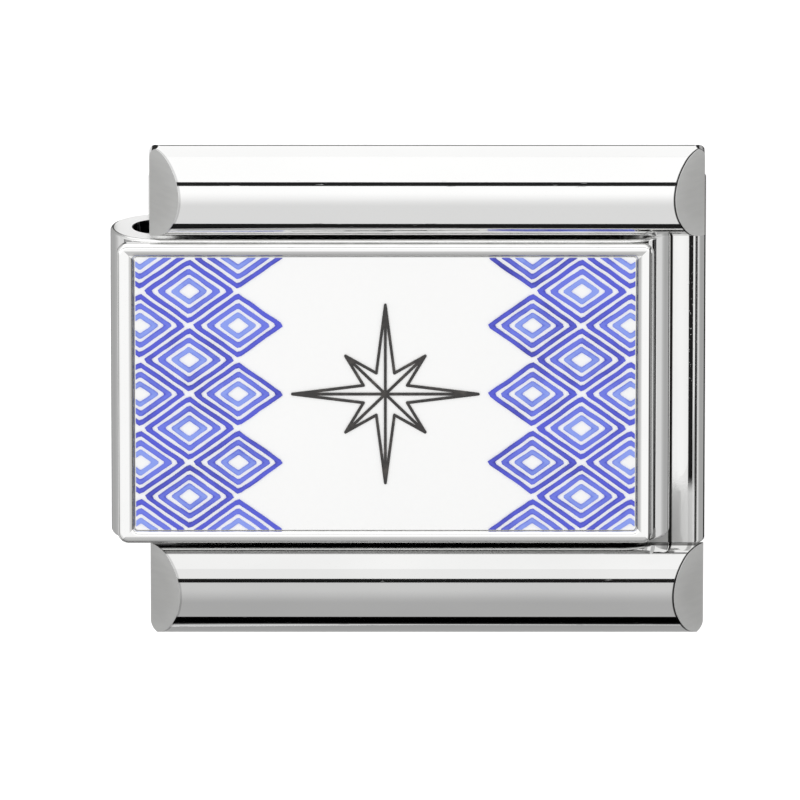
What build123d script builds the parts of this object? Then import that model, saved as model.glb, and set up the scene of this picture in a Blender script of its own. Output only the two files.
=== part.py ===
from build123d import *
import os
from math import atan2, cos, degrees, radians, sin

os.makedirs("parts", exist_ok=True)

# A link of a modular charm bracelet, in millimetres, lying on its back with its face up.
# +X runs along the bracelet, +Y across it towards the back rail, and +Z up through the face.
# Two flattened tubes lie one on the other. The lower one carries the side rails, the upper
# one carries the picture, and two bows at the sides tie them together near the +X end.

# The two sleeves
sleeve_length = 9.94
sleeve_offset = 0.65
sleeve_gap = 0.05
base_height = 0.95
base_wall = 0.20
face_height = 1.66
face_wall = 0.38
face_width = 5.64
sleeve_edge = 0.06

# The side rails and the flanges that carry them
rail_clearance = 0.04
rail_end_inset = 0.05
rail_semi_y = 0.82
rail_semi_z = 0.62
rail_side_radius = 0.50
rail_drop = 0.33
rail_wall = 0.20
rail_bevel_run = 0.52
rail_corner = 0.20
rail_seat_depth = 0.06
flange_thickness = 0.15
flange_shift = 0.08
flange_bend = 0.15
mouth_drop = 0.05

# The bows
arm_radius = 0.18
arm_flat = 0.03
bow_thickness = 0.14
bow_side_clearance = 0.03
base_arm_clearance = 0.05
face_arm_clearance = 0.10
bow_inset = 0.66
base_arm_reach = 1.40
face_arm_reach = 1.30

# The leaf springs
spring_thickness = 0.08
spring_width = 4.40
spring_end_gap = 0.60
spring_clearance = 0.01

# The face tray, the panel in it and the print on the panel
tray_end_inset = 0.21
tray_side_inset = 0.04
tray_height = 0.14
tray_shift = -0.09
rim_side = 0.31
rim_end = 0.24
rim_crown = 0.08
tray_corner = 0.20
recess_corner = 0.05
recess_depth = 0.10
panel_thickness = 0.06
panel_clearance = 0.01
print_thickness = 0.02
print_margin = 0.02
diamond_columns = 3
diamond_rows = 4
diamond_half_width = 0.87
first_column = 2.61
band_widths = ((0.96, 0.78), (0.68, 0.50), (0.40, 0.22))
star_reach = 1.65
star_short_reach = 1.00
star_waist = 0.42
star_points = 8
line_width = 0.05

# Places that follow from the sizes above
base_x = sleeve_offset / 2
face_x = -sleeve_offset / 2
face_floor = base_height + sleeve_gap
face_top = face_floor + face_height
tray_top = face_top + tray_height
tray_x = face_x + tray_shift
tray_length = sleeve_length - 2 * tray_end_inset
panel_top = tray_top - recess_depth + panel_thickness
tray_width = face_width - 2 * tray_side_inset
picture_length = tray_length - 2 * rim_side
picture_width = tray_width - 2 * rim_end
rail_y = face_width / 2 + rail_clearance + rail_semi_y
rail_length = sleeve_length - 2 * rail_end_inset
rail_axis_height = tray_top - rail_drop
seat_height = rail_axis_height - rail_semi_z + rail_seat_depth
bow_x = face_x + sleeve_length / 2 - bow_inset
base_arm_z = base_wall + base_arm_clearance + arm_radius
face_arm_z = face_top - face_wall - face_arm_clearance - arm_radius
flange_outer_y = rail_y + flange_shift
flange_inner_y = flange_outer_y - flange_thickness
bow_outer_y = flange_inner_y - bow_side_clearance
bow_inner_y = bow_outer_y - bow_thickness
base_width = 2 * (bow_inner_y - bow_side_clearance)
flange_length = sleeve_length - base_height


def hollow_sleeve(centre_x, floor, height, wall, width):
    """A flattened tube whose axis is Y: a slot section, its bore and softened end edges."""
    with BuildPart() as tube:
        with BuildSketch(Plane.XZ):
            with Locations((centre_x, floor + height / 2)):
                SlotOverall(sleeve_length, height)
                SlotOverall(sleeve_length - 2 * wall, height - 2 * wall, mode=Mode.SUBTRACT)
        extrude(amount=width / 2, both=True)
        ends = tube.faces().sort_by(Axis.Y)
        fillet(ends[0].outer_wire().edges() + ends[-1].outer_wire().edges(), sleeve_edge)
    return tube.part


def rail_form(side, inset):
    """The bevelled bar of one rail, or with an inset the hollow inside it."""
    half = rail_length / 2 - inset
    crest = rail_axis_height + rail_semi_z
    floor = rail_axis_height - rail_semi_z
    # The section is a four-arc oval: a flat crown and floor that run into rounder sides.
    centre_y = rail_semi_y - rail_side_radius
    crown_drop = rail_semi_z - rail_side_radius
    crown_radius = (centre_y**2 + rail_semi_z**2 - rail_side_radius**2) / (2 * crown_drop)
    lean = atan2(crown_radius - rail_semi_z, centre_y)
    join_y = centre_y + (rail_side_radius - inset) * cos(lean)
    join_z = (rail_side_radius - inset) * sin(lean)
    with BuildPart() as form:
        with BuildSketch(Plane((base_x, side * rail_y, rail_axis_height), x_dir=(0, 1, 0), z_dir=(1, 0, 0))):
            with BuildLine():
                ThreePointArc((join_y, join_z), (0, rail_semi_z - inset), (-join_y, join_z))
                ThreePointArc((-join_y, join_z), (inset - rail_semi_y, 0), (-join_y, -join_z))
                ThreePointArc((-join_y, -join_z), (0, inset - rail_semi_z), (join_y, -join_z))
                ThreePointArc((join_y, -join_z), (rail_semi_y - inset, 0), (join_y, join_z))
            make_face()
        extrude(amount=half, both=True)
        with BuildSketch(Plane.XZ):
            with BuildLine():
                Polyline(
                    (base_x - half, floor),
                    (base_x + half, floor),
                    (base_x + half, rail_axis_height),
                    (base_x + half - rail_bevel_run, crest),
                    (base_x - half + rail_bevel_run, crest),
                    (base_x - half, rail_axis_height),
                    close=True,
                )
            make_face()
        extrude(amount=rail_y + rail_semi_y, both=True, mode=Mode.INTERSECT)
        with BuildSketch() as plan:
            with Locations((base_x, side * rail_y)):
                Rectangle(2 * half, 2 * rail_semi_y)
            fillet(plan.vertices().sort_by(Axis.Y, reverse=side > 0)[:2], rail_corner)
        extrude(amount=crest, mode=Mode.INTERSECT)
    return form.part


def side_rail(side):
    """A curled cover: hollow, seated flat on its flange, and open below on its inner side."""
    mouth_top = rail_axis_height - mouth_drop
    inner_y = rail_y - rail_semi_y
    with BuildPart() as rail:
        add(rail_form(side, 0))
        add(rail_form(side, rail_wall), mode=Mode.SUBTRACT)
        with BuildSketch(Plane.YZ.offset(base_x)):
            with Locations((side * rail_y, seat_height)):
                Rectangle(2 * rail_semi_y, rail_semi_z, align=(Align.CENTER, Align.MAX))
            with Locations((side * (inner_y + flange_inner_y) / 2, mouth_top)):
                Rectangle(flange_inner_y - inner_y, mouth_top, align=(Align.CENTER, Align.MAX))
        extrude(amount=rail_length / 2, both=True, mode=Mode.SUBTRACT)
    return rail.part


def leaf_spring(centre_x, middle_z, end_z):
    """A thin strip bowed along X, its middle on one wall of the sleeve and its ends at the arms."""
    half = sleeve_length / 2 - spring_end_gap
    with BuildPart() as spring:
        with BuildSketch(Plane.XZ):
            with BuildLine() as centre_line:
                ThreePointArc((centre_x - half, end_z), (centre_x, middle_z), (centre_x + half, end_z))
            trace(centre_line.line, line_width=spring_thickness)
        extrude(amount=spring_width / 2, both=True)
    return spring.part


def arm(axis_z, tip_y, flat_side):
    """One round arm of a bow, along Y, with a flat for the leaf spring to press on."""
    length = bow_inner_y - tip_y
    with BuildPart() as pin:
        with BuildSketch(Plane.XZ.offset(-bow_inner_y)):
            with Locations((bow_x, axis_z)):
                Circle(arm_radius)
            with Locations((bow_x, axis_z + flat_side * arm_radius)):
                Rectangle(2 * arm_radius, 2 * arm_flat, mode=Mode.SUBTRACT)
        extrude(amount=length)
    return pin.part


def diamonds(outer, inner):
    """One tone of the print: a band of every diamond, cut off at the edge of the panel."""
    half_height = picture_width / (2 * diamond_rows)
    centres = []
    for column in range(diamond_columns):
        rows = diamond_rows // 2
        lift = half_height * (column % 2)
        for row in range(-rows, rows + 1):
            for hand in (-1, 1):
                x = tray_x + hand * (first_column + column * diamond_half_width)
                centres.append((x, lift + 2 * half_height * row))
    shape = [(diamond_half_width, 0), (0, half_height), (-diamond_half_width, 0), (0, -half_height)]
    with BuildPart() as band:
        with BuildSketch(Plane.XY.offset(panel_top)):
            with Locations(*centres):
                Polygon(*[(outer * x, outer * y) for x, y in shape])
            with Locations(*centres):
                Polygon(*[(inner * x, inner * y) for x, y in shape], mode=Mode.SUBTRACT)
            with Locations((tray_x, 0)):
                Rectangle(picture_length - 2 * print_margin, picture_width - 2 * print_margin, mode=Mode.INTERSECT)
        extrude(amount=print_thickness)
    return band.part


with BuildPart() as base_sleeve:
    add(hollow_sleeve(base_x, 0, base_height, base_wall, base_width))
    # The floor runs on past the tube's ends and turns up into the flanges under the rails.
    with BuildSketch(Plane.YZ.offset(base_x)):
        wing = flange_outer_y - base_width / 2
        with Locations(((flange_outer_y + base_width / 2) / 2, base_wall / 2)):
            Rectangle(wing, base_wall)
        with Locations(((flange_inner_y + flange_outer_y) / 2, seat_height / 2)):
            Rectangle(flange_thickness, seat_height)
        mirror(about=Plane.YZ)
    extrude(amount=flange_length / 2, both=True)
    bends = base_sleeve.edges().filter_by(Axis.X).filter_by_position(Axis.Z, -0.01, 0.01)
    fillet(bends.group_by(Axis.Y)[0] + bends.group_by(Axis.Y)[-1], flange_bend)
base_sleeve.part.label = "base_sleeve"
export_step(base_sleeve.part, "parts/base_sleeve.step")

with BuildPart() as side_rail_back:
    add(side_rail(1))
side_rail_back.part.label = "side_rail_back"
export_step(side_rail_back.part, "parts/side_rail_back.step")

with BuildPart() as side_rail_front:
    add(side_rail(-1))
side_rail_front.part.label = "side_rail_front"
export_step(side_rail_front.part, "parts/side_rail_front.step")

with BuildPart() as face_sleeve:
    add(hollow_sleeve(face_x, face_floor, face_height, face_wall, face_width))
face_sleeve.part.label = "face_sleeve"
export_step(face_sleeve.part, "parts/face_sleeve.step")

with BuildPart() as bow_back:
    with BuildSketch(Plane.XZ.offset(-bow_outer_y)):
        with Locations((bow_x, (base_arm_z + face_arm_z) / 2)):
            SlotCenterToCenter(face_arm_z - base_arm_z, 2 * arm_radius, rotation=90)
    extrude(amount=bow_thickness)
    add(arm(base_arm_z, base_width / 2 - base_arm_reach, 1))
    add(arm(face_arm_z, face_width / 2 - face_arm_reach, -1))
bow_back.part.label = "bow_back"
export_step(bow_back.part, "parts/bow_back.step")

with BuildPart() as bow_front:
    mirror(bow_back.part, about=Plane.XZ)
bow_front.part.label = "bow_front"
export_step(bow_front.part, "parts/bow_front.step")

# The spring of the base hangs from its roof and presses down on the arms. The spring of the
# face lies on its floor and presses up, so that the two springs draw the sleeves together.
strip = spring_thickness / 2 + spring_clearance
with BuildPart() as base_spring:
    add(leaf_spring(base_x, base_height - base_wall - strip, base_arm_z + arm_radius - arm_flat + strip))
base_spring.part.label = "base_spring"
export_step(base_spring.part, "parts/base_spring.step")

with BuildPart() as face_spring:
    add(leaf_spring(face_x, face_floor + face_wall + strip, face_arm_z - arm_radius + arm_flat - strip))
face_spring.part.label = "face_spring"
export_step(face_spring.part, "parts/face_spring.step")

with BuildPart() as face_tray:
    with BuildSketch(Plane.XY.offset(face_top)):
        with Locations((tray_x, 0)):
            RectangleRounded(tray_length, tray_width, tray_corner)
    extrude(amount=tray_height)
    fillet(face_tray.faces().sort_by(Axis.Z)[-1].edges(), rim_crown)
    with BuildSketch(Plane.XY.offset(tray_top)):
        with Locations((tray_x, 0)):
            RectangleRounded(picture_length, picture_width, recess_corner)
    extrude(amount=-recess_depth, mode=Mode.SUBTRACT)
    inner_rim = face_tray.faces().sort_by(Axis.Z)[-1].inner_wires()[0].edges()
    fillet(inner_rim, rim_crown)
face_tray.part.label = "face_tray"
export_step(face_tray.part, "parts/face_tray.step")

with BuildPart() as picture_panel:
    with BuildSketch(Plane.XY.offset(panel_top - panel_thickness)):
        with Locations((tray_x, 0)):
            RectangleRounded(
                picture_length - 2 * panel_clearance,
                picture_width - 2 * panel_clearance,
                recess_corner - panel_clearance,
            )
    extrude(amount=panel_thickness)
picture_panel.part.label = "picture_panel"
export_step(picture_panel.part, "parts/picture_panel.step")

for tone, (outer, inner) in zip(("deep", "mid", "pale"), band_widths):
    with BuildPart() as print_band:
        add(diamonds(outer, inner))
    print_band.part.label = f"diamonds_{tone}"
    export_step(print_band.part, f"parts/diamonds_{tone}.step")

# The star is drawn with a pen: an outline with long points on the axes, short ones between
# and a waist at each notch, and a fold line from the middle out to every point.
with BuildPart() as star_outline:
    star = []
    for corner in range(2 * star_points):
        turn = radians(corner * 180 / star_points)
        reach = star_waist
        if corner % 2 == 0:
            reach = star_reach if corner % 4 == 0 else star_short_reach
        star.append(Vector(tray_x + reach * cos(turn), reach * sin(turn)))
    strokes = list(zip(star, star[1:] + star[:1]))
    strokes += [(Vector(tray_x, 0), tip) for tip in star[::2]]
    with BuildSketch(Plane.XY.offset(panel_top)):
        for start, end in strokes:
            run = end - start
            with Locations((start + end) / 2):
                SlotCenterToCenter(run.length, line_width, rotation=degrees(atan2(run.Y, run.X)))
    extrude(amount=print_thickness)
star_outline.part.label = "star_outline"
export_step(star_outline.part, "parts/star_outline.step")
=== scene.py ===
# %% [markdown]
# # A steel bracelet link, dressed for its picture
#
# The link is about 10 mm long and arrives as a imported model: every solid is already in its place,
# in metres, and rides on the body that it moves with. This notebook adds what a solid can't hold:
# polish, satin, brushing, a painted print under clear resin, and the fine wear of a link in use.

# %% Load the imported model
import math
import bmesh
import bpy
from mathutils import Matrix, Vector


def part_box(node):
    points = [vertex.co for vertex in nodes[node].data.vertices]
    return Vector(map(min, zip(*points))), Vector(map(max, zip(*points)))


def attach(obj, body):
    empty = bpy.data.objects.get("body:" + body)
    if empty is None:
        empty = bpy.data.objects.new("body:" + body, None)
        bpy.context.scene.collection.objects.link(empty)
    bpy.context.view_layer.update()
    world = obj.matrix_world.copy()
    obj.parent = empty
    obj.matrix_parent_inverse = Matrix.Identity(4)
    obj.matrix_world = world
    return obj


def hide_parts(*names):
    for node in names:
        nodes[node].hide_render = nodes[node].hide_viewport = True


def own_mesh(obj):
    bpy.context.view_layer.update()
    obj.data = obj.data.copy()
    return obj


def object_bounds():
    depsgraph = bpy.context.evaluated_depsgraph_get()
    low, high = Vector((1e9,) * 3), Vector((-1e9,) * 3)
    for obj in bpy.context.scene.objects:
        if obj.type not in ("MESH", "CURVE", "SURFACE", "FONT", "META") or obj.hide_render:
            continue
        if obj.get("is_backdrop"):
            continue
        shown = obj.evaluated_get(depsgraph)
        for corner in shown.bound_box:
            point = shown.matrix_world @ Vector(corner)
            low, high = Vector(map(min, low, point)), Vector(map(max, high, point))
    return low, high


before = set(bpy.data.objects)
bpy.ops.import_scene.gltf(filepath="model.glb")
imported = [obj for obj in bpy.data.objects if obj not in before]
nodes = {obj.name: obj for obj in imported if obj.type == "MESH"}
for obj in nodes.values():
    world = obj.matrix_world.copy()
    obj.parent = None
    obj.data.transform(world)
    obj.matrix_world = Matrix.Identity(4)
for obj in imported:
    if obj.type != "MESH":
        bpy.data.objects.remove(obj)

cad_low, cad_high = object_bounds()
print("the link measures", [round(1000 * size, 2) for size in cad_high - cad_low], "mm")

# %% [markdown]
# ## The camera
#
# The link lies on its back and is seen from above, leaning a little towards its far rail, so that
# the open end of the upper sleeve shows. A long lens from further away keeps the rails parallel,
# as in a product picture. The distance follows from the lens: at that distance the sensor's width
# takes in exactly the width of the view. The camera aims so that the middle between the two rails
# falls on one named pixel of the picture.

# %% Point the camera
PIXELS = 800
PIXELS_PER_METRE = 56300
VIEW_WIDTH = PIXELS / PIXELS_PER_METRE
LENS = 0.900
SENSOR = 0.036
NEAREST, FURTHEST = 0.001, 10
TILT = math.radians(17)
RAILS_MIDDLE_PIXEL = (427.0, 389.15)
CROWN_HEIGHT = 0.00062

rail_low, rail_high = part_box("side_rail_back")
rail_axis_height = rail_high[2] - CROWN_HEIGHT
rails_middle_x = (rail_low[0] + rail_high[0]) / 2
towards_camera = Vector((0, math.sin(TILT), math.cos(TILT)))
picture_up = Vector((0, math.cos(TILT), -math.sin(TILT)))
right_of_middle = (RAILS_MIDDLE_PIXEL[0] - PIXELS / 2) / PIXELS_PER_METRE
above_middle = (PIXELS / 2 - RAILS_MIDDLE_PIXEL[1]) / PIXELS_PER_METRE
aim = Vector((rails_middle_x - right_of_middle, 0, rail_axis_height)) - picture_up * above_middle
distance = VIEW_WIDTH * LENS / SENSOR

camera_data = bpy.data.cameras.new("camera")
camera_data.sensor_width = SENSOR * 1000
camera_data.lens = LENS * 1000
camera_data.clip_start, camera_data.clip_end = NEAREST, FURTHEST
camera = bpy.data.objects.new("camera", camera_data)
bpy.context.collection.objects.link(camera)
camera.location = aim + towards_camera * distance
camera.rotation_euler = (-TILT, 0, 0)
bpy.context.scene.camera = camera
print("the camera stands", round(1000 * distance), "mm from the link")

# %% [markdown]
# ## Shader maths as Python
#
# A material is a graph of nodes, but most of it is arithmetic, and arithmetic reads best as
# expressions. `Value` wraps one output socket and overloads the operators, so that
# `1 - mask * 0.5` adds the Math nodes by itself. `Graph` makes any other node from its type,
# its settings and its inputs.

# %% The socket wrapper
class Value:
    """One number that varies over a surface."""

    def __init__(self, graph, socket):
        self.graph = graph
        self.socket = socket

    def math(self, operation, *others):
        return self.graph.math(operation, self, *others)

    def __add__(self, other):
        return self.math("ADD", other)

    def __radd__(self, other):
        return self.math("ADD", other)

    def __sub__(self, other):
        return self.math("SUBTRACT", other)

    def __rsub__(self, other):
        return self.graph.math("SUBTRACT", other, self)

    def __mul__(self, other):
        return self.math("MULTIPLY", other)

    def __rmul__(self, other):
        return self.math("MULTIPLY", other)

    def __truediv__(self, other):
        return self.math("DIVIDE", other)

    def __rtruediv__(self, other):
        return self.graph.math("DIVIDE", other, self)

    def __pow__(self, other):
        return self.math("POWER", other)

    def __rpow__(self, other):
        return self.graph.math("POWER", other, self)

    def __mod__(self, other):
        return self.math("FLOORED_MODULO", other)

    def __rmod__(self, other):
        return self.graph.math("FLOORED_MODULO", other, self)

    def __neg__(self):
        return self.math("MULTIPLY", -1)

    def __abs__(self):
        return self.math("ABSOLUTE")

    def __gt__(self, other):
        return self.math("GREATER_THAN", other)

    def __lt__(self, other):
        return self.math("LESS_THAN", other)

    def clamp(self):
        """The value, kept between 0 and 1."""
        return self.math("MAXIMUM", 0).math("MINIMUM", 1)

    def step(self, low, high):
        """0 below low, 1 above high and smooth between them."""
        return Value(self.graph, self.graph.node(
            "ShaderNodeMapRange",
            {"interpolation_type": "SMOOTHSTEP"},
            {"Value": self, "From Min": low, "From Max": high},
        ).outputs["Result"])

    def band(self, low, full, fading, high):
        """1 from full to fading, 0 below low and above high, and smooth between them."""
        return self.step(low, full) * (1 - self.step(fading, high))


class Graph:
    """The nodes of one material, round one Principled shader."""

    def __init__(self, name):
        self.material = bpy.data.materials.new(name)
        self.material.use_nodes = True
        self.tree = self.material.node_tree
        self.shader = self.tree.nodes["Principled BSDF"]
        self.place = self.node("ShaderNodeTexCoord").outputs["Object"]

    def node(self, kind, settings=None, inputs=None):
        """Any node, from its type, its settings and its inputs by name or number."""
        made = self.tree.nodes.new(kind)
        for name, setting in (settings or {}).items():
            setattr(made, name, setting)
        for name, given in (inputs or {}).items():
            self.feed(made.inputs[name], given)
        return made

    def feed(self, socket, given):
        """Links a socket to a value or to another socket, or else sets it to a constant."""
        source = given.socket if isinstance(given, Value) else given
        if isinstance(source, bpy.types.NodeSocket):
            self.tree.links.new(source, socket)
        else:
            socket.default_value = source

    def math(self, operation, *values):
        return Value(self, self.node(
            "ShaderNodeMath", {"operation": operation}, dict(enumerate(values))).outputs[0])

    def coordinates(self, axes):
        """The object coordinates along the named axes, in millimetres."""
        split = self.node("ShaderNodeSeparateXYZ", inputs={"Vector": self.place})
        return [Value(self, split.outputs[axis]) * 1000 for axis in axes]

    def stretched(self, scale):
        """The object coordinates, scaled by axis."""
        return self.node(
            "ShaderNodeVectorMath", {"operation": "MULTIPLY"}, {0: self.place, 1: scale}).outputs[0]

    def noise(self, scale, detail, seed, stretch=(1, 1, 1)):
        """Smooth noise from about 0 to 1, with scale features to the millimetre."""
        return Value(self, self.node("ShaderNodeTexNoise", {"noise_dimensions": "4D"}, {
            "Vector": self.stretched([1000 * factor for factor in stretch]),
            "W": seed, "Scale": scale, "Detail": detail}).outputs["Fac"])

    def mix(self, factor, first, second):
        """A colour between two others, from the colour sockets of a Mix node, found by number."""
        made = self.node("ShaderNodeMix", {"data_type": "RGBA"}, {0: factor, 6: first, 7: second})
        return made.outputs[2]

    def bump(self, height, distance, strength):
        """A normal tilted by a height that varies over the surface."""
        return self.node("ShaderNodeBump", inputs={
            "Height": height, "Distance": distance, "Strength": strength}).outputs["Normal"]

    def set(self, **inputs):
        """Sets sockets of the shader, with _ for the spaces in their names."""
        for name, given in inputs.items():
            self.feed(self.shader.inputs[name.replace("_", " ")], given)


def grey(level):
    return (level, level, level, 1)


print("the wrapper is ready")

# %% [markdown]
# ## The studio
#
# Polished steel has no colour of its own to speak of: it shows the room. Jewellery is pictured in a
# white tent, and the crisp dark lines along its curves are the tent's slots. Here the world is the
# tent. A glossy ray sees white cloth, which dims towards the front, with a few narrow dark slots,
# each given by the angles between which it stands round the link, its softness and its darkness. A
# slot is fully dark where the picture's own reflections look, and half as dark aside from there, so
# that other views of the link stay light. A camera ray sees plain white, and every other ray sees
# an even soft light, so that colours render about as they are written.

# %% The tent round the link
AMBIENT = 0.83
CLOTH, DIMMEST_CLOTH = 1.24, 0.69
CLOTH_DIMS = (-33.0, 3.0)
BLACK, HALF_DARK = 0.985, 0.55
SLOTS_ALONG_RAILS = (
    (14.2, 21.8, 0.6, BLACK),
    (-86.8, -75.5, 1.0, BLACK),
)
SLOTS_ACROSS_ENDS = (
    (44.0, 64.0, 1.5, BLACK),
    (76.0, 83.0, 1.5, BLACK),
    (84.6, 88.0, 1.0, BLACK),
    (-92.0, -66.0, 4.0, HALF_DARK),
)
SHARE_ASIDE = 0.50
FULL_ALONG_RAILS = {"middle": 0.0, "reach": 0.35, "soft": 0.20}
FULL_ACROSS_ENDS = {"middle": -math.sin(TILT), "reach": 0.16, "soft": 0.16}


class Tent(Graph):
    """The nodes of the world, with the same arithmetic as the materials."""

    def __init__(self):
        world = bpy.data.worlds.new("tent")
        bpy.context.scene.world = world
        world.use_nodes = True
        self.tree = world.node_tree
        self.background = world.node_tree.nodes["Background"]
        direction = self.node("ShaderNodeTexCoord").outputs["Object"]
        split = self.node("ShaderNodeSeparateXYZ", inputs={"Vector": direction})
        self.x, self.y, self.z = [Value(self, split.outputs[axis]) for axis in "XYZ"]

    def angle(self, across):
        """Degrees from straight up towards +X or +Y."""
        return self.math("ARCTAN2", across, self.z) * (180 / math.pi)

    def openness(self):
        """How much of the cloth's light a direction has, with the slots taken out."""
        light = 1
        for angle, slots, sideways, full in (
                (self.angle(self.y), SLOTS_ALONG_RAILS, self.x, FULL_ALONG_RAILS),
                (self.angle(self.x), SLOTS_ACROSS_ENDS, self.y, FULL_ACROSS_ENDS)):
            share = SHARE_ASIDE + (1 - SHARE_ASIDE) * near(sideways, **full)
            for low, high, soft, darkness in slots:
                light = light * (1 - darkness * share * angle.band(low - soft, low, high, high + soft))
        return light


def near(value, middle, reach, soft):
    """1 within reach of a middle value, falling softly to 0 outside it."""
    return 1 - abs(value - middle).step(reach, reach + soft)


def ray(graph, kind):
    """1 for rays of one kind, and 0 for the others."""
    return Value(graph, graph.node("ShaderNodeLightPath").outputs[f"Is {kind} Ray"])


tent = Tent()
cloth = CLOTH * (DIMMEST_CLOTH + (1 - DIMMEST_CLOTH) * tent.angle(tent.y).step(*CLOTH_DIMS))
shiny = ray(tent, "Glossy")
seen = shiny * (cloth * tent.openness()) + (1 - shiny) * AMBIENT
onlooker = ray(tent, "Camera").math("MAXIMUM", ray(tent, "Transmission"))
tent.feed(tent.background.inputs["Strength"], onlooker + (1 - onlooker) * seen)
tent.background.inputs["Color"].default_value = grey(1.0)
print("the tent has", len(SLOTS_ALONG_RAILS) + len(SLOTS_ACROSS_ENDS), "slots")

# %% [markdown]
# ## A soft lamp
#
# The even light of the tent leaves matt surfaces flat, so one wide lamp above the far left corner
# gives them a direction and the link a faint shadow. It is hidden from glossy rays, because the
# steel already mirrors the tent.

# %% Hang the lamp
LAMP_PLACE = Vector((-0.025, 0.030, 0.075))
LAMP_SIZE = 0.06
LAMP_WATTS = 0.014

lamp_data = bpy.data.lights.new("softbox", "AREA")
lamp_data.shape = "SQUARE"
lamp_data.size = LAMP_SIZE
lamp_data.energy = LAMP_WATTS
lamp = bpy.data.objects.new("softbox", lamp_data)
bpy.context.collection.objects.link(lamp)
lamp.location = LAMP_PLACE
lamp.rotation_euler = LAMP_PLACE.to_track_quat("Z", "Y").to_euler()
lamp.visible_glossy = False
print("the lamp hangs", round(1000 * LAMP_PLACE.length), "mm away")

# %% [markdown]
# ## The floor
#
# The floor is a plain white sheet. To the camera, and to the steel that mirrors it, it also glows a
# little, which takes it to the white of the backdrop while the link's soft shadow stays on it.

# %% Lay the floor
FLOOR_HALF = 0.5
FLOOR_GLOW = 0.47
FLOOR_GAP = 0.00002
PAPER_LEVEL, PAPER_ROUGHNESS = 0.9, 0.9


def sheet(name, low_x, high_x, low_y, high_y, height):
    """A level rectangle, facing up."""
    mesh = bpy.data.meshes.new(name)
    corners = [(low_x, low_y), (high_x, low_y), (high_x, high_y), (low_x, high_y)]
    mesh.from_pydata([(x, y, height) for x, y in corners], [], [(0, 1, 2, 3)])
    made = bpy.data.objects.new(name, mesh)
    bpy.context.collection.objects.link(made)
    return made


floor = sheet("floor", -FLOOR_HALF, FLOOR_HALF, -FLOOR_HALF, FLOOR_HALF, cad_low.z - FLOOR_GAP)
paper = Graph("floor_paper")
seen_directly = ray(paper, "Camera").math("MAXIMUM", ray(paper, "Glossy"))
paper.set(
    Base_Color=grey(PAPER_LEVEL), Roughness=PAPER_ROUGHNESS, Specular_IOR_Level=0.0,
    Emission_Color=grey(1.0),
    Emission_Strength=FLOOR_GLOW * seen_directly.math("MAXIMUM", ray(paper, "Transmission")))
floor.data.materials.append(paper.material)
floor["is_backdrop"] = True
bpy.context.scene.view_settings.view_transform = "Standard"
print("the floor lies", round(1e6 * FLOOR_GAP), "micrometres below the link")

# %% [markdown]
# ## Flags
#
# A photographer shapes mirror metal with flags: cards and nets that stay out of the picture and
# show only in the reflections. Two are used here. A card lies on the floor. It is white right
# under the link and behind it, and grey in front and at the ends, which gives the edges that face
# down their tone, and a narrow black ring on it draws the link's thin dark outline. A net hangs
# just over the front rail and lets only part of the cloth's light down to it, so that the front
# rail comes out greyer than the back one. A black stripe on the net widens the dark line along
# the rail's outer side.

# %% A sheet that only reflections see
class Flag(Graph):
    """The nodes of a flag, with one plain shader for its surface."""

    def __init__(self, piece, shader_kind):
        super().__init__(piece.name)
        self.tree.nodes.remove(self.shader)
        self.shader = self.node(shader_kind)
        output = self.tree.nodes["Material Output"]
        self.tree.links.new(self.shader.outputs[0], output.inputs["Surface"])
        piece.data.materials.append(self.material)
        for kind in ("camera", "diffuse", "transmission", "volume_scatter", "shadow"):
            setattr(piece, f"visible_{kind}", False)
        piece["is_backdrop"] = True


print("flags can be made")

# %% Lay the card
CARD_REACH = 0.300
CARD_UNDER, CARD_RING = 0.95, 0.03
CARD_FRONT, CARD_BACK = 0.46, 1.18
CARD_END_NEAR, CARD_END_FAR = 0.40, 0.72
END_DISTANCES = (1.5, 7.0)
END_SHIFT = 0.20
RING_INSIDE, RING_OUTSIDE, RING_SOFT = -0.20, 0.25, 0.06
RING_WIDER_BEHIND = 0.35


def card_level(graph):
    """How bright the card is, from how far a point is outside the link's box, in mm."""
    x, y = graph.coordinates("XY")
    behind = y > 0
    past_ends = abs(x) - (1000 * cad_high.x + END_SHIFT)
    past_rails = abs(y) - 1000 * cad_high.y
    outside = past_ends.math("MAXIMUM", past_rails)
    sides = CARD_FRONT + (CARD_BACK - CARD_FRONT) * behind
    ends = CARD_END_NEAR + (CARD_END_FAR - CARD_END_NEAR) * past_ends.step(*END_DISTANCES)
    around = sides + (ends - sides) * (past_ends > past_rails)
    ring_starts = outside.step(RING_INSIDE - RING_SOFT, RING_INSIDE)
    past_ring = outside - RING_WIDER_BEHIND * behind * (past_rails > past_ends)
    ring_ends = past_ring.step(RING_OUTSIDE, RING_OUTSIDE + RING_SOFT)
    return CARD_UNDER + (CARD_RING - CARD_UNDER) * ring_starts + (around - CARD_RING) * ring_ends


card = sheet("floor_card", -CARD_REACH, CARD_REACH, -CARD_REACH, CARD_REACH, cad_low.z - FLOOR_GAP / 2)
card_paper = Flag(card, "ShaderNodeEmission")
card_paper.set(Color=grey(1.0), Strength=card_level(card_paper))
print("the card reaches", 1000 * CARD_REACH, "mm each way")

# %% Hang the net
NET_REACH = 0.020
NET_START = 0.00285
NET_ABOVE_RAIL = 0.00024
NET_CLEAR, NET_SHADED = 0.90, 0.63
NET_SHADES_FROM = (0.36, 0.52)
STRIPE = (1.90, 1.95, 4.70, 4.75)
STRIPE_HALF = 5.6


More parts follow.
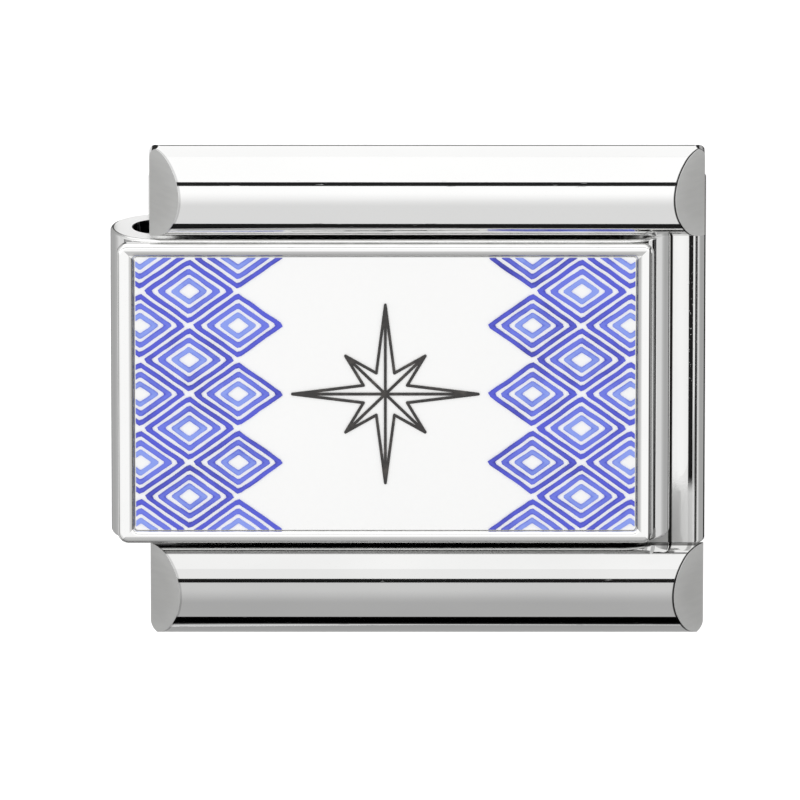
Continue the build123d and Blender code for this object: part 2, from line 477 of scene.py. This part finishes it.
def net_clearness(graph):
    """How much light the net lets through, from how far a point is past its back edge, in mm."""
    x, y = graph.coordinates("XY")
    towards_front = -y - NET_START * 1000
    clear = NET_CLEAR + (NET_SHADED - NET_CLEAR) * towards_front.step(*NET_SHADES_FROM)
    return clear * (1 - towards_front.band(*STRIPE) * (abs(x) < STRIPE_HALF))


net = sheet("front_net", -NET_REACH, NET_REACH, -NET_REACH, -NET_START, cad_high.z + NET_ABOVE_RAIL)
net_cloth = Flag(net, "ShaderNodeBsdfTransparent")
net_cloth.set(Color=net_cloth.mix(net_clearness(net_cloth), grey(0.0), grey(1.0)))
print("the net starts", 1000 * NET_START, "mm in front of the middle")

# %% [markdown]
# ## Polished steel
#
# All the sleeves and rails are one metal, buffed to a mirror. A mirror in use is never perfect: it
# keeps the faint lines of the buffing wheel, a few hairline scratches, and a haze where edges
# have rubbed on sleeves and tabletops. Those go into roughness and a very shallow bump, and leave
# the colour almost alone. Each piece adds masks of its own for where it is worn, dull, darkened by
# painted shade or was never buffed.

# %% A finish for mirror steel
STEEL = (0.93, 0.93, 0.925, 1)
STEEL_WORN = (0.86, 0.86, 0.85, 1)
# A near black, painted as shade or reflection in the seam, along the front rail and on the rim's
# slopes.
PAINTED_SHADE_COLOUR = (0.015, 0.014, 0.013, 1)
HAIR_ALONG, HAIR_ACROSS = 0.35, 9.0
HAIR_SCALE, HAIR_CUT = 6.0, (0.66, 0.74)
PATCH_SCALE, PATCH_CUT, PATCH_SEED_APART = 0.7, (0.50, 0.62), 3
HAZE_SCALE, HAZE_CUT = 0.9, (0.35, 0.75)
HAZE_FADES, WEAR_FADES = 0.25, 0.6
MIRROR_ROUGHNESS = {"buffed": 0.035, "haze": 0.03, "scratch": 0.10, "worn": 0.16, "painted_dark": 0.2}
MIRROR_DEPTH, MIRROR_STRENGTH = 0.000002, 0.35
RUBBED_SCALE, RUBBED_LEAST, RUBBED_SOFT = 3.0, 0.4, 0.03


def stretch_along(axis, along, across):
    """How a noise is scaled by axis, so that it is drawn out along one of them."""
    return [along if name == axis else across for name in "XYZ"]


def hairlines(graph, axis, seed):
    """Sparse fine scratches that run along an axis, as a mask."""
    drawn_out = stretch_along(axis, HAIR_ALONG, HAIR_ACROSS)
    lines = graph.noise(HAIR_SCALE, detail=2.0, seed=seed, stretch=drawn_out)
    patches = graph.noise(PATCH_SCALE, detail=1.0, seed=seed + PATCH_SEED_APART)
    return lines.step(*HAIR_CUT) * patches.step(*PATCH_CUT)


def nowhere(graph):
    """A mask that leaves every part of a piece as it is."""
    return 0.0


def mirror_steel(name, axis, base=STEEL, rubbed=nowhere, dull=nowhere, painted_shading=nowhere, matt=nowhere):
    """Buffed steel, with functions of the graph for its worn, dull, painted-shade and unbuffed parts.
    """
    graph = Graph(name)
    scratches = hairlines(graph, axis, seed=0.0)
    haze = graph.noise(HAZE_SCALE, detail=4.0, seed=5.0).step(*HAZE_CUT)
    # One mask is painted shade: it takes the colour towards near black there, and adds roughness.
    wear, painted_dark = rubbed(graph), painted_shading(graph)
    metal = graph.mix((HAZE_FADES * haze + WEAR_FADES * wear).clamp(), base, STEEL_WORN)
    rough = MIRROR_ROUGHNESS
    graph.set(
        Base_Color=graph.mix(painted_dark, metal, PAINTED_SHADE_COLOUR),
        Metallic=1.0 - matt(graph),
        Roughness=(rough["buffed"] + rough["haze"] * haze + rough["scratch"] * scratches
                   + rough["worn"] * wear + dull(graph) + rough["painted_dark"] * painted_dark),
        Normal=graph.bump(scratches + HAZE_FADES * haze, MIRROR_DEPTH, MIRROR_STRENGTH),
    )
    return graph.material


def near_ends(axis, low, high, width):
    """A mask of the surface within a width of the two ends of a piece along an axis, in mm."""
    def mask(graph):
        place = graph.coordinates(axis)[0]
        reach = width * (RUBBED_LEAST + graph.noise(RUBBED_SCALE, detail=3.0, seed=9.0))
        past_high, past_low = place - (high - reach), (low + reach) - place
        return (past_high.step(0, RUBBED_SOFT) + past_low.step(0, RUBBED_SOFT)).clamp()
    return mask


def limits(node, axis):
    """Where a node starts and ends along an axis, in millimetres."""
    low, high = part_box(node)
    number = "XYZ".index(axis)
    return 1000 * low[number], 1000 * high[number]


def dress(node, material):
    """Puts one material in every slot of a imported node."""
    mesh = nodes[node].data
    mesh.materials.clear()
    mesh.materials.append(material)


print("mirror steel can be made")

# %% [markdown]
# ## The two sleeves
#
# The sleeves are flattened tubes, one on the other. The upper one is rubbed matt round its cut
# ends, where it meets the skin. The lower one shows only as a plate past the upper one's end. Its
# flat is buffed less than its rounded end, and hardly at all towards the front rail, where no wheel
# reaches. A dark line of painted shade sits in the seam where the two tubes touch.

# %% Polish the sleeves
SLEEVE_EDGE = 0.07
PLATE_STEEL = (0.90, 0.90, 0.89, 1)
PLATE_FLAT_END, PLATE_FLAT_SOFT = 4.82, 0.05
PLATE_DULLNESS = 0.16
PLATE_UNBUFFED = 0.85
UNBUFFED_FROM = (-2.45, -2.10)
# Where the seam's line of painted shade lies along X, in mm.
SEAM = (4.630, 4.645, 4.695, 4.715)
TOP_FACE = 0.85


def plate_flat(graph):
    """The roughness that the plate's flat has over that of its rounded end."""
    x = graph.coordinates("X")[0]
    rounded = x.step(PLATE_FLAT_END - PLATE_FLAT_SOFT, PLATE_FLAT_END + PLATE_FLAT_SOFT)
    return PLATE_DULLNESS * (1 - rounded)


def under_rail(graph):
    """The unbuffed end of the plate's top, towards the front rail."""
    y, z = graph.coordinates("YZ")
    return PLATE_UNBUFFED * (1 - y.step(*UNBUFFED_FROM)) * (z > TOP_FACE)


def seam_painted_shade(graph):
    """The line of painted shade where the two tubes touch."""
    x, z = graph.coordinates("XZ")
    return x.band(*SEAM) * (z > TOP_FACE)


dress("face_sleeve", mirror_steel(
    "sleeve_steel", "Y", rubbed=near_ends("Y", *limits("face_sleeve", "Y"), SLEEVE_EDGE)))
# The plate's seam line is painted shade.
dress("base_sleeve", mirror_steel(
    "base_steel", "X", PLATE_STEEL, dull=plate_flat, painted_shading=seam_painted_shade, matt=under_rail))
print("the sleeves are polished")

# %% [markdown]
# ## The rails' satin ends
#
# Each rail is bevelled at both ends, and the flat that the bevel leaves is not buffed but ground to
# a grey satin, a little darker in the flat's middle. The flat lies on a known plane, so its mask is
# that plane's equation: how far out a point is along the rail plus its height times the bevel's
# slope. Grinding leaves a thin dark burr where the flat meets the polish, stronger at the right. The
# front rail is painted darker than the back one as shade, and has a band of painted shade on the
# side that faces the picture.

# %% Mirror rails with satin ends
BACK_STEEL = (0.80, 0.80, 0.795, 1)
# The front rail's steel is painted darker than the back one's, as shade.
FRONT_STEEL_SHADED = (0.70, 0.70, 0.695, 1)
BEVEL_SLOPE = 0.52 / 0.62
OVAL = (0.82, 0.62)
OVAL_CUT, OVAL_SHARE = (0.15, 0.95), 0.75
SATIN = (0.625, 0.625, 0.615, 1)
SATIN_DARK = (0.545, 0.545, 0.535, 1)
SATIN_METAL = 0.75
GRINDING_SCALE, GRINDING_STRETCH = 2.0, (1, 6, 1)
GRINDING_CUT, GRINDING_SHARE = (0.3, 0.7), 0.35
BURR = (0.045, 0.045, 0.045, 1)
BURR_REACH = (0.052, 0.034, 0.012, 0.004)
FAINT_BURR = 0.30
# A band of painted shade along the front rail's inner side, in mm above and below its axis.
CREVICE = (-0.15, -0.10, 0.10, 0.13)
CREVICE_PAINTED_SHADE = 0.85
RAIL_HAZE_SCALE, RAIL_HAZE_STRETCH = 0.8, (0.4, 1, 1)
RAIL_ROUGHNESS = {
    "buffed": 0.03, "haze": 0.02, "scratch": 0.03, "burr": 0.12, "satin": 0.42, "ground": 0.05}
RAIL_DEPTH, RAIL_STRENGTH = 0.000001, 0.2


def rail_place(graph, node):
    """How far a point is along, across and above the middle of a rail's axis, in mm."""
    x, y, z = graph.coordinates("XYZ")
    return x - sum(limits(node, "X")) / 2, y - sum(limits(node, "Y")) / 2, z - 1000 * rail_axis_height


def satin_and_burr(along, up, half):
    """Masks of the bevelled flats and of the burr round them, on a rail of a given half length."""
    outward = abs(along) + up.math("MAXIMUM", 0) * BEVEL_SLOPE
    burr_starts, burr_full, satin_starts, satin_full = [half - reach for reach in BURR_REACH]
    satin = outward.step(satin_starts, satin_full)
    burr = outward.step(burr_starts, burr_full) * (1 - satin)
    return satin, burr * (FAINT_BURR + (1 - FAINT_BURR) * (along > 0))


def rail_steel(name, node, steel, shaded_side=0):
    """Rail steel, with a band of painted shade along the side that is named as 1 or -1, if any."""
    graph = Graph(name)
    low, high = limits(node, "X")
    along, across, up = rail_place(graph, node)
    satin, burr = satin_and_burr(along, up, (high - low) / 2)
    grinding = graph.noise(GRINDING_SCALE, detail=2.0, seed=2.0, stretch=GRINDING_STRETCH)
    scratches = hairlines(graph, "X", seed=1.0)
    haze = graph.noise(RAIL_HAZE_SCALE, detail=4.0, seed=7.0, stretch=RAIL_HAZE_STRETCH).step(*HAZE_CUT)
    # Painted shade along the rail's side next to the tray.
    crevice_shade = up.band(*CREVICE) * (across * shaded_side > 0)
    polished = graph.mix(burr, graph.mix(HAZE_FADES * haze, steel, STEEL_WORN), BURR)
    polished = graph.mix(CREVICE_PAINTED_SHADE * crevice_shade, polished, PAINTED_SHADE_COLOUR)
    oval = (across / OVAL[0]) ** 2 + (up / OVAL[1]) ** 2
    lightness = GRINDING_SHARE * grinding.step(*GRINDING_CUT) + OVAL_SHARE * oval.step(*OVAL_CUT)
    rough = RAIL_ROUGHNESS
    graph.set(
        Base_Color=graph.mix(satin, polished, graph.mix(lightness.clamp(), SATIN_DARK, SATIN)),
        Metallic=1.0 - (1 - SATIN_METAL) * satin,
        Roughness=(rough["buffed"] + rough["haze"] * haze + rough["scratch"] * scratches
                   + rough["burr"] * burr + satin * (rough["satin"] + rough["ground"] * grinding)),
        Normal=graph.bump(scratches * (1 - satin) + satin * grinding, RAIL_DEPTH, RAIL_STRENGTH),
    )
    return graph.material


dress("side_rail_back", rail_steel("back_rail_steel", "side_rail_back", BACK_STEEL))
# The front rail takes the darker steel as painted shade, and a band of painted shade on its inner side.
dress("side_rail_front", rail_steel("front_rail_shaded_steel", "side_rail_front", FRONT_STEEL_SHADED, shaded_side=1))
print("the rails have satin ends")

# %% [markdown]
# ## The rim round the picture
#
# The rim is the part that a finger and a cuff touch, so its outer edge carries the most rubbing,
# broken up with noise so that it isn't an even line. The slopes of each long bar that turn to the
# front are rougher than the crown, and painted a darker grey as reflection. A short bar is painted
# darker only along its inner foot, and the right one has a line painted dark as reflection near
# its outer edge.

# %% Rim steel
RIM_WORN = (0.015, 0.055)
RIM_BROKEN_SCALE, RIM_BROKEN_CUT = 2.2, (0.38, 0.62)
RIM_CROWN = (0.115, 0.145)
RIM_CREASE = (0.205, 0.225)
# How dark the slopes are painted, as reflection.
RIM_PAINTED_DARKNESS = 0.45
RIM_SIDE_SLOPE = (0.195, 0.245)
# The right bar's line, painted dark as reflection, in mm inside the rim's edge.
RIM_DARK_LINE = (0.052, 0.058, 0.082, 0.090)
RIM_LINE_PAINTED_DARKNESS = 0.9


def inside_rim(graph, axis):
    """How far a point is inside the rim's outer edge along an axis, in mm."""
    low, high = limits("face_tray", axis)
    return (high - low) / 2 - abs(graph.coordinates(axis)[0] - (low + high) / 2)


def rim_edges(graph):
    """The rubbed outer edge, broken up with noise."""
    to_edge = inside_rim(graph, "X").math("MINIMUM", inside_rim(graph, "Y"))
    broken = graph.noise(RIM_BROKEN_SCALE, detail=4.0, seed=4.0).step(*RIM_BROKEN_CUT)
    return (1 - to_edge.step(*RIM_WORN)) * broken


def rim_painted_reflections(graph):
    """The slopes of the four bars and a line on the right one: rougher, and darkened as painted
    reflection.
    """
    x, y = graph.coordinates("XY")
    inside_x, inside_y = inside_rim(graph, "X"), inside_rim(graph, "Y")
    lengthwise, back = inside_y < inside_x, y > 0
    inward = inside_y.step(*RIM_CROWN)
    long_bars = back * inward * (1 - inside_y.step(*RIM_CREASE)) + (1 - back) * (1 - inward)
    short_bars = RIM_PAINTED_DARKNESS * inside_x.step(*RIM_SIDE_SLOPE)
    painted_line = RIM_LINE_PAINTED_DARKNESS * inside_x.band(*RIM_DARK_LINE) * (x > 0)
    return lengthwise * RIM_PAINTED_DARKNESS * long_bars + (1 - lengthwise) * (short_bars + painted_line)


# The rim's slopes and line are painted darker as reflection, through the steel's painted shade mask.
dress("face_tray", mirror_steel("rim_steel", "X", rubbed=rim_edges, painted_shading=rim_painted_reflections))
print("the rim is polished")

# %% [markdown]
# ## Bows and springs
#
# These are inside the link and were never buffed. The bows are pressed from strip, so they keep a
# drawn grain along their length, and the springs are blued very slightly by tempering.

# %% Pressed and tempered steel
GRAIN_ALONG, GRAIN_ACROSS = 0.8, 12.0
GRAIN_SCALE, MOTTLE_SCALE = 3.0, 1.1
GRAIN_SHARE, MOTTLE_SHARE = 0.6, 0.4
GRAIN_ROUGHNESS, MOTTLE_ROUGHNESS = 0.12, 0.08
GRAIN_DEPTH, GRAIN_STRENGTH = 0.000003, 0.5


def strip_steel(name, axis, light, dark, roughness):
    """Steel strip with a drawn grain along an axis."""
    graph = Graph(name)
    drawn_out = stretch_along(axis, GRAIN_ALONG, GRAIN_ACROSS)
    grain = graph.noise(GRAIN_SCALE, detail=3.0, seed=1.0, stretch=drawn_out)
    mottle = graph.noise(MOTTLE_SCALE, detail=3.0, seed=6.0)
    graph.set(
        Base_Color=graph.mix((GRAIN_SHARE * grain + MOTTLE_SHARE * mottle).clamp(), dark, light),
        Metallic=1.0,
        Roughness=roughness + GRAIN_ROUGHNESS * grain + MOTTLE_ROUGHNESS * mottle,
        Normal=graph.bump(grain, GRAIN_DEPTH, GRAIN_STRENGTH),
    )
    return graph.material


bow_steel = strip_steel("bow_steel", "Z", (0.66, 0.66, 0.65, 1), (0.48, 0.48, 0.47, 1), 0.22)
spring_steel = strip_steel("spring_steel", "X", (0.52, 0.53, 0.56, 1), (0.34, 0.35, 0.39, 1), 0.28)
for bow in ("bow_back", "bow_front"):
    dress(bow, bow_steel)
for spring in ("base_spring", "face_spring"):
    dress(spring, spring_steel)
print("the hidden parts are dressed")

# %% [markdown]
# ## The leaf that gives way
#
# At rest the flats on the bows' arms lie on the leaf spring of the upper sleeve. As the face
# opens, the arms turn their round sides to it and press it down, and that is what snaps the link
# shut again. A imported solid can't bend, so a copy of the leaf, with its doubled points merged,
# takes its place and rides on the face.

# %% Put a copy of the face spring in its place
LEAF_MERGE = 1e-7

leaf = bpy.data.objects.new("pressed_leaf", nodes["face_spring"].data.copy())
bpy.context.collection.objects.link(leaf)
joined = bmesh.new()
joined.from_mesh(leaf.data)
bmesh.ops.remove_doubles(joined, verts=joined.verts[:], dist=LEAF_MERGE)
joined.to_mesh(leaf.data)
joined.free()
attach(leaf, "face")
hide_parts("face_spring")
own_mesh(leaf)

# %% [markdown]
# ## A lattice of painted diamonds
#
# The picture repeats one motif, a diamond of three nested bands, over a lattice on each side. On
# the real thing it is painted once, by hand, and printed small. Geometry Nodes do it in the same
# order: points on the lattice, a rounded kite curve on each, and then a slight wobble of every
# stroke's edge from seeded noise, before the space between an outer and an inner curve is filled.
# One tree makes all three tones, because only its inputs change from one to the next.

# %% A tree with named inputs
class Pattern(Graph):
    """A Geometry Nodes tree, with the same arithmetic as the materials."""

    def __init__(self, name, sizes):
        self.tree = bpy.data.node_groups.new(name, "GeometryNodeTree")
        self.tree.interface.new_socket("Mesh", in_out="OUTPUT", socket_type="NodeSocketGeometry")
        self.identifiers = {}
        for title, kind in sizes.items():
            made = self.tree.interface.new_socket(
                title, in_out="INPUT", socket_type="NodeSocket" + kind)
            self.identifiers[title] = made.identifier
        self.given = self.node("NodeGroupInput").outputs
        self.result = self.node("NodeGroupOutput").inputs["Mesh"]
        self.place = self.node("GeometryNodeInputPosition").outputs["Position"]

    def size(self, title):
        return Value(self, self.given[title])

    def joined(self, *values):
        """A vector from three numbers."""
        return self.node("ShaderNodeCombineXYZ", inputs=dict(zip("XYZ", values))).outputs["Vector"]

    def then(self, kind, geometry, settings=None, **inputs):
        """A node that takes the geometry so far into its first socket, and its result."""
        named = {name.replace("_", " "): given for name, given in inputs.items()}
        made = self.node(kind, settings, named)
        self.tree.links.new(geometry, made.inputs[0])
        return made.outputs[0]


print("patterns can be made")

# %% The lattice, the strokes and their wobble
STROKE_POINTS = 48
CORNER_POINTS = 4
WOBBLE_SCALE = 2.6
WOBBLE_SEEDS_APART = (0, 20)

lattice = Pattern("diamond_lattice", {
    "Columns": "Int", "Rows": "Int",
    "Half Width": "Float", "Half Height": "Float", "First Column": "Float", "Middle": "Float",
    "Height": "Float", "Outer": "Float", "Inner": "Float", "Corner": "Float",
    "Wobble": "Float", "Seed": "Float", "Paint": "Material"})
size = lattice.size
number = Value(lattice, lattice.node("GeometryNodeInputIndex").outputs["Index"])
column = (number / (2 * size("Rows"))).math("FLOOR")
in_column = number % (2 * size("Rows"))
row = (in_column / 2).math("FLOOR")
hand = 1 - 2 * (in_column % 2)
centre = lattice.joined(
    size("Middle") + hand * (size("First Column") + column * size("Half Width")),
    size("Half Height") * (column % 2 + 2 * row - (size("Rows") - 1)),
    0.0)
points = lattice.node("GeometryNodePoints", inputs={
    "Count": 2 * size("Columns") * size("Rows"), "Position": centre}).outputs[0]
strokes = lattice.node("GeometryNodeJoinGeometry")
for reach in ("Outer", "Inner"):
    kite = lattice.node("GeometryNodeCurvePrimitiveQuadrilateral", {"mode": "KITE"}, {
        "Width": 2 * size(reach) * size("Half Width"),
        "Bottom Height": size(reach) * size("Half Height"),
        "Top Height": size(reach) * size("Half Height")}).outputs[0]
    kite = lattice.then("GeometryNodeFilletCurve", kite, {"mode": "POLY"},
                        Count=CORNER_POINTS, Radius=size("Corner"), Limit_Radius=True)
    placed = lattice.then("GeometryNodeInstanceOnPoints", points, Instance=kite)
    lattice.tree.links.new(placed, strokes.inputs[0])
drawn = lattice.then("GeometryNodeRealizeInstances", strokes.outputs[0])
drawn = lattice.then("GeometryNodeResampleCurve", drawn, Count=STROKE_POINTS)
noises = [lattice.noise(WOBBLE_SCALE, detail=2.0, seed=size("Seed") + apart)
          for apart in WOBBLE_SEEDS_APART]
drift = [(noise - 0.5) * (2 * size("Wobble")) for noise in noises]
drawn = lattice.then("GeometryNodeSetPosition", drawn, Offset=lattice.joined(*drift, 0.0))
painted = lattice.then("GeometryNodeFillCurve", drawn, {"mode": "TRIANGLES"})
raised = lattice.joined(0.0, 0.0, size("Height"))
painted = lattice.then("GeometryNodeSetPosition", painted, Offset=raised)
painted = lattice.then("GeometryNodeRealizeInstances", painted)
painted = lattice.then("GeometryNodeSetMaterial", painted, Material=size("Paint"))
lattice.tree.links.new(painted, lattice.result)
print("the lattice tree has", len(lattice.tree.nodes), "nodes")

# %% [markdown]
# ## Washes and ink under resin
#
# The ground is white with the faintest paper tooth. The blues are a watercolour wash: pigment
# drifts to the edges of a wet stroke and dries darker there, and each stroke carries its own load
# of it. The shader finds a stroke's edge from the lattice itself. Two slanting coordinates, each
# folded back onto one diamond, say how far a point is from the diamond's middle, and their whole
# parts number the diamond. All of it lies under clear resin, which is the coat of the shader.

# %% Ground, washes and ink under resin
COLUMNS, ROWS = 3, 5
HALF_WIDTH, HALF_HEIGHT = 0.87, 0.635
FIRST_COLUMN = 2.61
BANDS = {"deep": (0.94, 0.79), "mid": (0.67, 0.51), "pale": (0.39, 0.23)}
RESIN_WEIGHT, RESIN_ROUGHNESS = 0.35, 0.06
PRINT_DEPTH, PRINT_STRENGTH = 0.000001, 0.25
TOOTH_SCALE, CLOUD_SCALE = 9.0, 0.5
GROUND_ROUGHNESS, WASH_ROUGHNESS, INK_ROUGHNESS = 0.35, 0.38, 0.40
EDGE_START = 0.4
POOL_SCALE, PAPER_GRAIN_SCALE = 2.4, 14.0
PIGMENT = {"edge": 0.40, "load": 0.45, "pool": 2.2, "grain": 0.4, "least": 1.45}
DRY_SCALE, DRY_CUT = 6.0, (0.45, 0.8)
UNEVEN = 0.1
tray_middle = sum(limits("face_tray", "X")) / 2


def sealed(graph, colour, roughness, bump_height):
    """Sets a printed colour under a coat of clear resin."""
    graph.set(
        Base_Color=colour, Roughness=roughness, Metallic=0.0,
        Coat_Weight=RESIN_WEIGHT, Coat_Roughness=RESIN_ROUGHNESS,
        Normal=graph.bump(bump_height, PRINT_DEPTH, PRINT_STRENGTH))
    return graph.material


def white_ground(dark, light):
    """Paper white, with a tooth and faint clouds."""
    graph = Graph("ground_under_resin")
    tooth = graph.noise(TOOTH_SCALE, detail=4.0, seed=1.0)
    cloud = graph.noise(CLOUD_SCALE, detail=2.0, seed=2.0)
    colour = graph.mix(((tooth + cloud) / 2).clamp(), dark, light)
    return sealed(graph, colour, GROUND_ROUGHNESS + UNEVEN * tooth, tooth)


def on_lattice(graph):
    """How far a point is from its diamond's middle, 1 at the edge, and a chance number for each."""
    x, y = graph.coordinates("XY")
    across, up = (abs(x - tray_middle) - FIRST_COLUMN) / HALF_WIDTH, y / HALF_HEIGHT
    slants = [across + up, across - up]
    folded = [abs((slant + 1) % 2 - 1) for slant in slants]
    numbers = [((slant + 1) / 2).math("FLOOR") for slant in slants]
    diamond = graph.node("ShaderNodeCombineXYZ", inputs=dict(zip("XYZ", (*numbers, x > tray_middle))))
    chance = graph.node(
        "ShaderNodeTexWhiteNoise", {"noise_dimensions": "3D"}, {"Vector": diamond.outputs[0]})
    return folded[0].math("MAXIMUM", folded[1]), Value(graph, chance.outputs["Value"])


def wash(tone, thin, thick):
    """One tone of blue, darker where its pigment has gathered."""
    graph = Graph("wash_" + tone)
    outer, inner = BANDS[tone]
    reach, load = on_lattice(graph)
    half = (outer - inner) / 2
    edge = abs(reach - (outer + inner) / 2).step(EDGE_START * half, half)
    pool = graph.noise(POOL_SCALE, detail=3.0, seed=3.0)
    grain = graph.noise(PAPER_GRAIN_SCALE, detail=3.0, seed=5.0)
    depth = (PIGMENT["edge"] * edge + PIGMENT["load"] * load + PIGMENT["pool"] * pool
             + PIGMENT["grain"] * grain - PIGMENT["least"]).clamp()
    return sealed(graph, graph.mix(depth, thin, thick), WASH_ROUGHNESS + UNEVEN * grain, pool)


def ink(wet, dried):
    """Dark ink that has dried lighter in places."""
    graph = Graph("ink_under_resin")
    dry = graph.noise(DRY_SCALE, detail=3.0, seed=2.0)
    colour = graph.mix(dry.step(*DRY_CUT), wet, dried)
    return sealed(graph, colour, INK_ROUGHNESS + UNEVEN * dry, dry)


washes = {
    "deep": wash("deep", (0.072, 0.088, 0.66, 1), (0.020, 0.023, 0.33, 1)),
    "mid": wash("mid", (0.135, 0.175, 0.78, 1), (0.038, 0.046, 0.48, 1)),
    "pale": wash("pale", (0.250, 0.340, 0.88, 1), (0.085, 0.118, 0.64, 1)),
}
dress("picture_panel", white_ground((0.94, 0.94, 0.935, 1), (0.98, 0.98, 0.975, 1)))
dress("star_outline", ink((0.012, 0.010, 0.009, 1), (0.060, 0.052, 0.045, 1)))
print("the colours are mixed")

# %% Run the tree and trim its strokes to the picture
CORNER = 0.00003
WOBBLE = 0.000022
SEEDS = {"deep": 3.0, "mid": 11.0, "pale": 29.0}
SLIVER = 1e-7


def grow(pattern, name, sizes):
    """Runs a tree with the given sizes and keeps what it makes as a plain mesh."""
    piece = bpy.data.objects.new(name, bpy.data.meshes.new(name))
    bpy.context.collection.objects.link(piece)
    modifier = piece.modifiers.new("pattern", "NODES")
    modifier.node_group = pattern.tree
    for title, given in sizes.items():
        modifier[pattern.identifiers[title]] = given
    ready = piece.evaluated_get(bpy.context.evaluated_depsgraph_get())
    made = bpy.data.meshes.new_from_object(ready)
    piece.modifiers.remove(modifier)
    piece.data = made
    return piece


def trim(mesh, low, high):
    """Cuts flat strokes off at the sides of a box and makes them as thick as the box is high."""
    cut = bmesh.new()
    cut.from_mesh(mesh)
    for axis in (0, 1):
        for corner, sign in ((low, -1), (high, 1)):
            outward = [0.0, 0.0, 0.0]
            outward[axis] = sign
            everything = cut.verts[:] + cut.edges[:] + cut.faces[:]
            bmesh.ops.bisect_plane(
                cut, geom=everything, plane_co=corner, plane_no=outward, clear_outer=True)
    bmesh.ops.remove_doubles(cut, verts=cut.verts[:], dist=SLIVER)
    everything = cut.verts[:] + cut.edges[:] + cut.faces[:]
    raised = bmesh.ops.extrude_face_region(cut, geom=everything, use_keep_orig=True)["geom"]
    tops = [part for part in raised if isinstance(part, bmesh.types.BMVert)]
    bmesh.ops.translate(cut, verts=tops, vec=(0, 0, high[2] - low[2]))
    bmesh.ops.recalc_face_normals(cut, faces=cut.faces[:])
    cut.to_mesh(mesh)
    cut.free()


for tone, (outer, inner) in BANDS.items():
    print_low, print_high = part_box("diamonds_" + tone)
    piece = grow(lattice, "painted_" + tone, {
        "Columns": COLUMNS, "Rows": ROWS,
        "Half Width": HALF_WIDTH / 1000, "Half Height": HALF_HEIGHT / 1000,
        "First Column": FIRST_COLUMN / 1000, "Middle": tray_middle / 1000, "Height": print_low[2],
        "Outer": outer, "Inner": inner, "Corner": CORNER, "Wobble": WOBBLE, "Seed": SEEDS[tone],
        "Paint": washes[tone]})
    trim(piece.data, print_low, print_high)
    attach(piece, "face")
    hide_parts("diamonds_" + tone)
    paints = [paint.name for paint in piece.data.materials]
    print(tone, "strokes have", len(piece.data.polygons), "faces and", paints)

# %% [markdown]
# ## The sizes
#
# The dressed link must fill the same box as the imported one, so the difference between the two
# boxes is printed before the script ends.

# %% Write the sizes and finish
low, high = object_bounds()
growth = (high - low) - (cad_high - cad_low)
print("grown by", [round(1e6 * way, 1) for way in growth], "micrometres")
